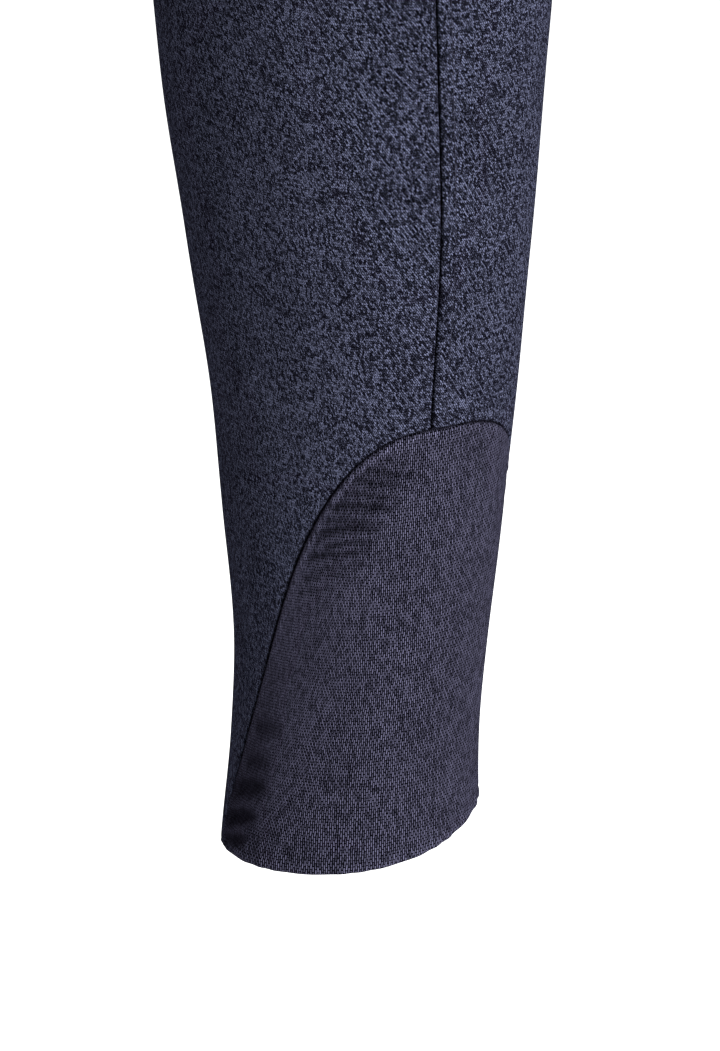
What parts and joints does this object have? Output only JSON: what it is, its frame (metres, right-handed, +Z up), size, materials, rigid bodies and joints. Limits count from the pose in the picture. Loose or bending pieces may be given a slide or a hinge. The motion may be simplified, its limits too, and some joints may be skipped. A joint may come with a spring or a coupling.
{
  "type": "riding breeches",
  "caption": "Full-length stretch riding breeches, worn and empty, with arched stretch cuffs, a waistband and a zip fly.",
  "frame": {"origin": "centre of the waist opening, where the wearer holds the breeches up", "axes": "+Z up, out of the waist; -Y is the way the wearer faces; +X is the wearer's left"},
  "size_m": [0.3894, 0.2382, 0.911],
  "materials": {
    "twill": "fine navy stretch twill, matt, with a faint diagonal and a dark speckle",
    "stretch_knit": "finely ribbed navy stretch knit, matt",
    "zip_tape": "dark navy woven tape with a plain moulded chain",
    "slider_metal": "plain dull metal",
    "button_resin": "plain dark navy resin"
  },
  "bodies": {
    "root": {"front_left": "twill", "front_right": "twill", "back_left": "twill", "back_right": "twill", "cuff_left": "stretch_knit", "cuff_right": "stretch_knit", "waistband": "twill", "fly_flap": "twill", "fly_zip": "zip_tape", "zip_slider": "slider_metal", "waist_button": "button_resin"}
  },
  "joints": []
}
